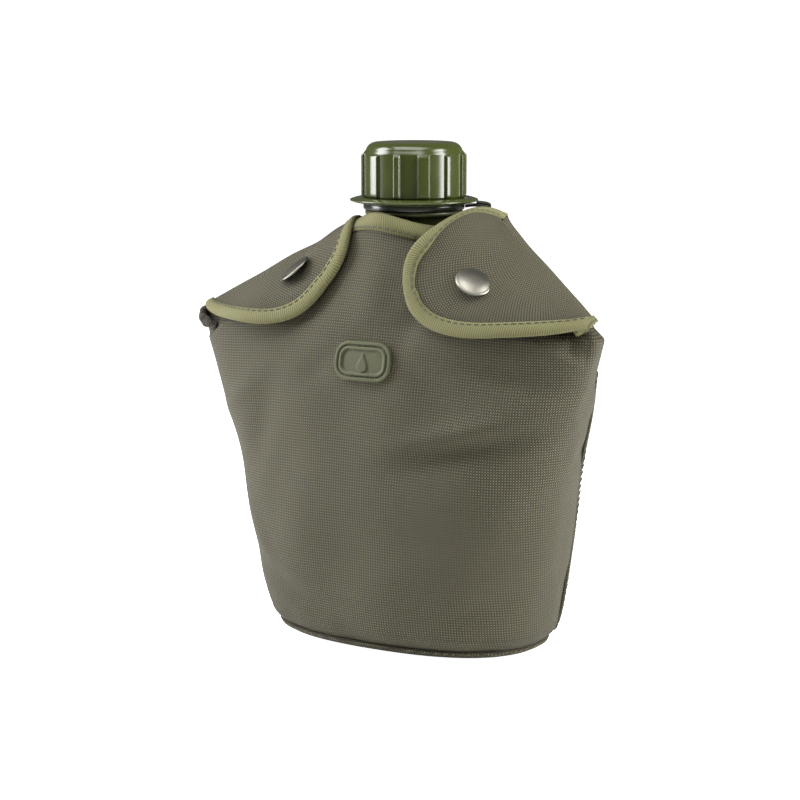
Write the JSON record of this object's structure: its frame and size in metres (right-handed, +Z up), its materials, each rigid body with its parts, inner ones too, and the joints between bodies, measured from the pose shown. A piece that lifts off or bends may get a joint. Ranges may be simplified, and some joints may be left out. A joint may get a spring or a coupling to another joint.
{
  "type": "canteen",
  "caption": "Flat-sided water canteen: screw-capped bottle on a retaining strap, in a lined fabric cover with two snap-fastened shoulder flaps and rear belt loops.",
  "frame": {"origin": "middle of the bottom face it stands on", "axes": "+Z up along the neck, front with the patch towards -Y, +X to the right seen from the front"},
  "size_m": [0.1868, 0.0887, 0.208],
  "materials": {
    "bottle_plastic": "semi-gloss moulded",
    "strap_plastic": "glossy moulded",
    "cap_plastic": "glossy moulded",
    "gasket_rubber": "matt",
    "cover_cloth": "coarse plain weave",
    "binding_tape": "ribbed tape",
    "pile_lining": "napped pile",
    "snap_metal": "antiqued",
    "patch_rubber": "moulded",
    "loop_webbing": "woven webbing"
  },
  "bodies": {
    "body": {"bottle_body": "bottle_plastic", "neck_strap_ring": "strap_plastic", "retaining_strap": "strap_plastic", "front_panel": "cover_cloth", "back_panel": "cover_cloth", "base_panel": "cover_cloth", "base_welt": "binding_tape", "front_lining": "pile_lining", "back_lining": "pile_lining", "front_neck_tape": "binding_tape", "back_neck_tape": "binding_tape", "left_side_tape": "cover_cloth", "right_side_tape": "cover_cloth", "left_snap_stud": "snap_metal", "right_snap_stud": "snap_metal", "front_patch": "patch_rubber", "left_belt_loop": "loop_webbing", "right_belt_loop": "loop_webbing"},
    "cap_ring": {"cap_strap_ring": "cap_plastic"},
    "cap": {"cap_shell": "cap_plastic", "cap_gasket": "gasket_rubber"},
    "left_flap": {"left_flap": "cover_cloth", "left_flap_tape": "binding_tape", "left_snap_cap": "snap_metal", "left_snap_socket": "snap_metal"},
    "right_flap": {"right_flap": "cover_cloth", "right_flap_tape": "binding_tape", "right_snap_cap": "snap_metal", "right_snap_socket": "snap_metal"}
  },
  "joints": [
    {"name": "cap_lift", "type": "slide", "parent": "body", "child": "cap_ring", "axis": [0, 0, 1], "range_m": [0, 0.0227], "deforming": ["retaining_strap"]},
    {"name": "cap_turn", "type": "hinge", "parent": "cap_ring", "child": "cap", "pos_m": [0, 0, 0.19], "axis": [0, 0, 1], "range_deg": [0, 1620]},
    {"name": "left_flap_open", "type": "hinge", "parent": "body", "child": "left_flap", "pos_m": [-0.0924, -0.01812, 0.13838], "axis": [-0.7623, -0.4284, -0.4851], "range_deg": [0, 150]},
    {"name": "right_flap_open", "type": "hinge", "parent": "body", "child": "right_flap", "pos_m": [0.0924, -0.01812, 0.13838], "axis": [-0.7623, 0.4284, 0.4851], "range_deg": [0, 150]}
  ],
  "couplings": [
    {"joint": "cap_lift", "follows": "cap_turn", "m_per_rad": 0.00079577}
  ]
}
